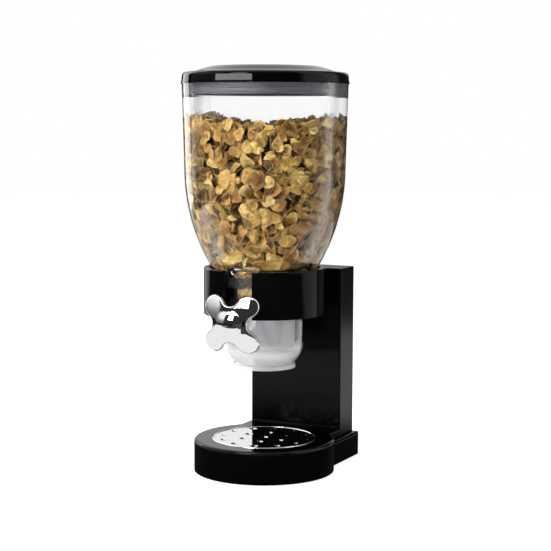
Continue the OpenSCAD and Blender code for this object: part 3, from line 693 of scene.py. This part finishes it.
def keep_in_pocket(middle_angle):
    """A limit that holds points between two paddles and inside the wheel's ball."""
    c, s = math.cos(middle_angle), math.sin(middle_angle)

    def limit(points):
        x, y, z = points[:, 0], points[:, 1] - AXIS_Y, points[:, 2] - SHAFT_Z
        out, across = x * c + z * s, -x * s + z * c
        out = np.clip(out, POCKET_LOW, WHEEL_R)
        room = out * math.tan(POCKET_HALF_ANGLE) - PADDLE_GAP
        across = np.clip(across, -room, room)
        flat = np.hypot(out, across)
        distance = np.maximum(np.sqrt(flat ** 2 + y ** 2), 1e-6)
        shrink = np.minimum(1.0, (WHEEL_R - POCKET_GAP) / distance)
        y = y * shrink
        room_flat = np.sqrt(np.maximum((WHEEL_R - POCKET_GAP) ** 2 - y ** 2, 1e-8))
        k = np.minimum(1.0, room_flat / flat)
        out, across = out * k, across * k
        return np.stack([out * c - across * s, y + AXIS_Y,
                         out * s + across * c + SHAFT_Z], 1)
    return limit


def wall_places():
    """Middle, facing, size and tone of each flake, layer by layer from the wall inwards. Deeper layers get lower
    tones, which is painted shade.
    """
    places = []
    for depth, spacing, tilt, tone in LAYERS:
        z = CEREAL_LOW + LAYER_START
        while z < HEAP_Z + HEAP_RISE:
            r = wall_radius(z) - depth * MM
            slope = BOWL_SLOPE if z < BOWL_Z else WALL_SLOPE
            count = max(3, int(round(2 * math.pi * r / (spacing * MM)))) if r > 3 * MM else 0
            offset = RNG.uniform(0, 2 * math.pi) if count else 0
            for i in range(count):
                a = offset + 2 * math.pi * (i + RNG.uniform(-ALONG, ALONG)) / count
                zz = z + RNG.uniform(-ACROSS, ACROSS) * spacing * MM
                rr = r + RNG.uniform(-IN_OUT, IN_OUT)
                x, y = rr * math.cos(a), rr * math.sin(a)
                if zz > top_height(x, y) - TOP_GAP:
                    continue
                normal = np.array([math.cos(a), math.sin(a), -slope])
                normal = normal + tilt * RNG.normal(size=3) * TILT_SPREAD
                if RNG.random() < TURNED_OVER:
                    normal = -normal
                size = SIZE_LEAST + SIZE_MORE * RNG.random() ** 1.5
                places.append((x, y, zz, normal, size, tone if zz > FUNNEL_Z else FUNNEL_TONE))
            z += spacing * MM * ROW_STEP
    return places


def top_places():
    """Flakes that lie on the heap, spread over a grid."""
    places = []
    reach = wall_radius(HEAP_Z) - 5 * MM
    steps = int(reach / TOP_SPACING) + 1
    for i in range(-steps, steps + 1):
        for j in range(-steps, steps + 1):
            x = (i + RNG.uniform(-ALONG, ALONG)) * TOP_SPACING
            y = (j + RNG.uniform(-ALONG, ALONG)) * TOP_SPACING
            if math.hypot(x, y) > reach:
                continue
            normal = np.array([0, 0, 1.0]) + 0.6 * RNG.normal(size=3)
            z = top_height(x, y) - RNG.uniform(0.001, 0.005)
            places.append((x, y, z, normal, RNG.uniform(6, 9), TOP_TONE))
    return places


def pocket_places(middle_angle):
    """Flakes between the two paddles on both sides of this angle."""
    places = []
    for i in range(POCKET_FLAKES):
        out = RNG.uniform(14, 24) * MM
        across = RNG.uniform(-0.45, 0.45) * out
        y = RNG.uniform(-14, 14) * MM
        x = out * math.cos(middle_angle) - across * math.sin(middle_angle)
        z = out * math.sin(middle_angle) + across * math.cos(middle_angle) + SHAFT_Z
        places.append((x, y, z, RNG.normal(size=3), RNG.uniform(5.0, 7.0), POCKET_TONE))
    return places


def flake_mesh(name, places, body, limit):
    """One mesh of all these flakes, each held inside the limit."""
    vertices, faces, tones, rims = [], [], [], []
    size = len(FLAKE_POLAR)
    # Rim share of each point, which drives the painted rim highlight
    rim = np.tile(FLAKE_POLAR[:, 0] ** 3, 2)
    for x, y, z, normal, reach, tone in places:
        points = turned(flake_shape(reach * MM), normal, RNG.uniform(0, 2 * math.pi))
        points = limit(points + [x, y + AXIS_Y, z])
        start = len(vertices) * 2 * size
        vertices.append(points)
        faces += [tuple(start + i for i in f) for f in FLAKE_FACES]
        tones.append(np.full(2 * size, np.clip(RNG.normal(tone, TONE_SPREAD), 0, 1)))
        rims.append(rim)
    obj = smooth_mesh(name, np.concatenate(vertices), faces, FLAKE_MATERIAL, body)
    for attribute, values in (("tone", tones), ("rim", rims)):
        data = obj.data.attributes.new(attribute, "FLOAT", "POINT")
        data.data.foreach_set("value", np.concatenate(values).astype(np.float32))


def build_shade_core():
    """Dark middle of the heap, painted shade seen only through the gaps between flakes."""
    vertices = []
    zs = np.linspace(SHAFT_Z + WHEEL_R + 0.006, HEAP_Z - 0.016, CORE_LEVELS)
    for z in zs:
        r = max(CORE_LEAST, wall_radius(z) - CORE_DEPTH)
        for i in range(CORE_STEPS):
            a = 2 * math.pi * i / CORE_STEPS
            wobble = 1 + 0.04 * math.sin(5 * a + 60 * z) + 0.03 * math.sin(9 * a - 90 * z)
            vertices.append((r * wobble * math.cos(a),
                             AXIS_Y + r * wobble * math.sin(a), z))
    vertices = [(0, AXIS_Y, zs[0] - 0.001)] + vertices + [(0, AXIS_Y, zs[-1] + 0.002)]
    faces = [tuple(reversed(f)) for f in ring_faces(CORE_LEVELS, CORE_STEPS)]
    smooth_mesh("cereal_core", vertices, faces, painted_depth_shade("cereal_shade"), "canister")


def build_cereal():
    places = wall_places() + top_places()
    places.sort(key=lambda place: place[2])
    third = len(places) // 3
    flake_mesh("cereal_lower", places[:third], "canister", keep_in_hopper)
    flake_mesh("cereal_middle", places[third:2 * third], "canister", keep_in_hopper)
    flake_mesh("cereal_upper", places[2 * third:], "canister", keep_in_hopper)
    for side, angle in (("right", math.radians(60)), ("left", math.radians(120))):
        name = "pocket_flakes_" + side
        flake_mesh(name, pocket_places(angle), "wheel", keep_in_pocket(angle))
    build_shade_core()


FLAKE_MATERIAL = toasted_flake("corn_flake")
build_knob()
build_knob_hub()
build_cereal()


# Studio

FLOOR_REACH = 8.0
SPOT_BLEND, SPOT_RADIUS = 0.6, 30 * MM


def stage_mesh(name, vertices, faces, material):
    obj = mesh_object(name, vertices, faces, material)
    return obj


def reflected_card(name, corners, strength):
    """Bright card that shows only in reflections."""
    material = bpy.data.materials.new(name)
    tree = NodeTree(material, "OutputMaterial")
    tree.show(tree.emission(strength))
    card = stage_mesh(name, corners, [(0, 1, 2, 3)], material)
    card.visible_camera = False
    card.visible_diffuse = False
    card.visible_shadow = False
    card.visible_transmission = False


def softbox(name, azimuth, distance, low, high, width, strength):
    """Upright card facing the object. Azimuth 0 is in front, 90 on the right."""
    a = math.radians(azimuth)
    centre = Vector((math.sin(a) * distance, -math.cos(a) * distance, 0))
    side = Vector((math.cos(a), math.sin(a), 0)) * width / 2
    bottom, top = Vector((0, 0, low)), Vector((0, 0, high))
    corners = [centre - side + bottom, centre + side + bottom,
               centre + side + top, centre - side + top]
    reflected_card(name, corners, strength)


def floor_card(name, x_range, y_range, z, strength):
    """Level card between these two limits in x and in y."""
    (left, right), (front, rear) = x_range, y_range
    corners = [(left, front, z), (right, front, z), (right, rear, z), (left, rear, z)]
    reflected_card(name, corners, strength)


def add_lamp(data, location, target, power):
    """Puts a lamp in its place, turned to its target and unseen in gloss and clear plastic."""
    data.energy = power
    lamp = bpy.data.objects.new(data.name, data)
    bpy.context.scene.collection.objects.link(lamp)
    aim = Vector(target) - Vector(location)
    lamp.location = location
    lamp.rotation_mode = "QUATERNION"
    lamp.rotation_quaternion = aim.to_track_quat("-Z", "Y")
    lamp.visible_glossy = False
    lamp.visible_transmission = False


def area_lamp(name, location, target, size, power):
    data = bpy.data.lights.new(name, "AREA")
    data.shape = "SQUARE"
    data.size = size
    add_lamp(data, location, target, power)


def spot_lamp(name, location, target, cone, power):
    data = bpy.data.lights.new(name, "SPOT")
    data.spot_size = math.radians(cone)
    data.spot_blend = SPOT_BLEND
    data.shadow_soft_size = SPOT_RADIUS
    add_lamp(data, location, target, power)


def build_floor():
    """White floor with a soft shadow. In reflections its brightness differs from place to
    place, set so that the black plastic and the chrome look as in the photograph."""
    s = Shader("pale_floor")
    s.set(Base_Color=(0.86, 0.86, 0.86, 1), Roughness=0.9, Specular_IOR_Level=0.0)
    path = s.add("LightPath")
    lift = s.emission(s.spread(path.outputs["Is Diffuse Ray"], 0.87, 0.2))
    seen = s.add("AddShader")
    s.feed(seen.inputs[0], s.body)
    s.feed(seen.inputs[1], lift)

    place = s.add("NewGeometry").outputs["Position"]
    split = s.add("SeparateXYZ")
    s.feed(split.inputs["Vector"], place)
    x, y = split.outputs["X"], split.outputs["Y"]
    length = s.add("VectorMath", operation="LENGTH")
    s.feed(length.inputs[0], place)
    distance = length.outputs["Value"]
    across = s.add("VectorMath", operation="DOT_PRODUCT")
    across.inputs[1].default_value = (-0.25, 1.0, 0.0)
    s.feed(across.inputs[0], place)

    # Out to the reach it is bright from a line in front of the object to the rear, with a
    # weaker part on the left that goes on in front of that line
    off_base = s.span(distance, 0.18, 0.34, 0.03, 0.92)
    rearward = s.span(across.outputs["Value"], -0.40, -0.35, 0.05, 1.0)
    left = s.span(x, -0.15, -0.45, 0.0, 0.3)
    reach = s.span(distance, 0.95, 1.1, 1.0, 0.04)
    lit = s.math("MULTIPLY", off_base, s.math("MAXIMUM", rearward, left))
    lit = s.math("MULTIPLY", lit, reach)

    # At any distance: a faint right-hand side and two bright wedges behind the object
    right = s.span(x, -0.1, 0.6, 0.0, 0.09)
    slope = s.math("DIVIDE", x, y)
    right_rear = s.span(slope, 0.70, 0.95, 0.0, 1.0)
    left_rear = s.span(slope, -1.0, -1.4, 0.0, 1.0)
    behind = s.span(y, 0.15, 0.5, 0.0, 0.9)
    wedges = s.math("MULTIPLY", behind, s.math("MAXIMUM", right_rear, left_rear))
    beyond = s.math("MULTIPLY", s.math("MAXIMUM", right, wedges), off_base)

    mirrored = s.emission(s.math("MAXIMUM", lit, beyond))
    s.show(s.mix(path.outputs["Is Glossy Ray"], seen.outputs["Shader"], mirrored))
    r = FLOOR_REACH
    corners = [(-r, -r, 0), (r, -r, 0), (r, r, 0), (-r, r, 0)]
    stage_mesh("floor", corners, [(0, 1, 2, 3)], s.material)


# The studio's brightness in reflections by azimuth: 0 is in front, 90 on the right
STUDIO_STOPS = [(-180, 0.02), (-92, 0.02), (-90, 0.03), (74, 0.03),
                (84, 1.2), (120, 1.4), (138, 1.0), (150, 0.08), (180, 0.02)]
STUDIO_SCALE = 1.5
OVERHEAD_LEVEL = 1.15
DIFFUSE_LEVEL = 0.14


def build_world():
    """White for the camera and through the clear plastic. In reflections it is a studio
    with dark sides, and all other light from it is even and dim."""
    world = bpy.data.worlds.new("studio")
    bpy.context.scene.world = world
    w = NodeTree(world, "OutputWorld")
    split = w.add("SeparateXYZ")
    w.feed(split.inputs[0], w.add("TexCoord").outputs["Generated"])
    x, y, z = split.outputs
    to_degrees = 180 / math.pi
    azimuth = w.math("MULTIPLY", w.math("ARCTAN2", x, w.math("MULTIPLY", y, -1.0)), to_degrees)
    height = w.math("MULTIPLY", w.math("ARCSINE", z), to_degrees)

    position = w.math("DIVIDE", w.math("ADD", azimuth, 180.0), 360.0)
    around = w.math("MULTIPLY", STUDIO_SCALE, w.ramp(position, [
        (min(1.0, (angle + 180) / 360), (level / STUDIO_SCALE,) * 3)
        for angle, level in STUDIO_STOPS]))
    left_wall = w.math("MULTIPLY", w.span(height, 3, 24, 0.17, 1.0),
                       w.span(azimuth, -40, -48, 0.0, 1.0))
    left_wall = w.math("MULTIPLY", left_wall, w.span(azimuth, -100, -88, 0.0, 1.0))
    rear_wall = w.math("MULTIPLY", w.span(azimuth, -128, -120, 0.9, 0.0),
                       w.span(height, 3.0, 4.5, 0.0, 1.0))
    rear_wall = w.math("MULTIPLY", rear_wall, w.span(height, 9, 12, 0.45, 1.0))
    sides = w.math("MAXIMUM", w.math("MAXIMUM", around, left_wall), rear_wall)
    reflected = w.between(w.span(height, 46, 64, 0.0, 1.0), sides, OVERHEAD_LEVEL)

    path = w.add("LightPath")
    level = w.between(path.outputs["Is Glossy Ray"], DIFFUSE_LEVEL, reflected)
    seen = w.math("MAXIMUM", path.outputs["Is Camera Ray"], path.outputs["Is Transmission Ray"])
    back = w.add("Background")
    back.inputs["Color"].default_value = (1, 1, 1, 1)
    w.feed(back.inputs["Strength"], w.between(seen, level, 1.0))
    w.show(back.outputs["Background"])


def build_camera():
    """Camera at the photograph's place, pitched, turned and rolled as fitted."""
    data = bpy.data.cameras.new("camera")
    data.sensor_width = SENSOR_MM
    data.lens = FOCAL_PX / IMAGE_SIZE * SENSOR_MM
    cam = bpy.data.objects.new("camera", data)
    bpy.context.scene.collection.objects.link(cam)
    a, p, roll = CAMERA_AZIMUTH, CAMERA_PITCH, CAMERA_ROLL
    yaw = math.atan((IMAGE_SIZE / 2 - AXIS_COLUMN_PX) / FOCAL_PX)
    cam.location = (math.sin(a) * CAMERA_DISTANCE,
                    AXIS_Y - math.cos(a) * CAMERA_DISTANCE, CAMERA_HEIGHT)
    forward = Vector((-math.sin(a) * math.cos(p), math.cos(a) * math.cos(p), -math.sin(p)))
    right = Vector((math.cos(a), math.sin(a), 0))
    up = right.cross(forward)
    turned_right = right * math.cos(yaw) - forward * math.sin(yaw)
    turned_forward = forward * math.cos(yaw) + right * math.sin(yaw)
    axis_x = turned_right * math.cos(roll) + up * math.sin(roll)
    axis_y = up * math.cos(roll) - turned_right * math.sin(roll)
    cam.rotation_mode = "QUATERNION"
    cam.rotation_quaternion = Matrix((axis_x, axis_y, -turned_forward)).transposed().to_quaternion()
    bpy.context.scene.camera = cam


build_camera()
build_floor()
build_world()
softbox("lid_panel", azimuth=-12, distance=0.30, low=0.387, high=0.45, width=0.25, strength=15.0)
softbox("front_softbox", azimuth=-9.5, distance=0.85, low=0.43, high=1.15, width=0.34, strength=6.0)
softbox("left_strip", azimuth=-109, distance=0.8, low=0.125, high=1.2, width=0.34, strength=3.0)
# White cards just above the base, in front of it and on its left
floor_card("low_card", x_range=(-0.32, 0.14), y_range=(-0.36, -0.10), z=0.045, strength=0.92)
floor_card("left_card", x_range=(-0.36, -0.095), y_range=(-0.10, 0.05), z=0.045, strength=0.92)
area_lamp("key", (-0.8, -1.3, 1.35), target=(0, 0, 0.25), size=0.3, power=38)
area_lamp("fill", (1.2, -1.3, 0.7), target=(0, 0, 0.2), size=0.9, power=10)
area_lamp("low_front", (-0.25, -1.5, 0.23), target=(0, 0, 0.18), size=0.3, power=7)
spot_lamp("gap_spot", (0.50, -1.05, 0.30), target=(-0.012, -0.042, 0.186), cone=3.4, power=90)

scene = bpy.context.scene
scene.view_settings.view_transform = "Standard"
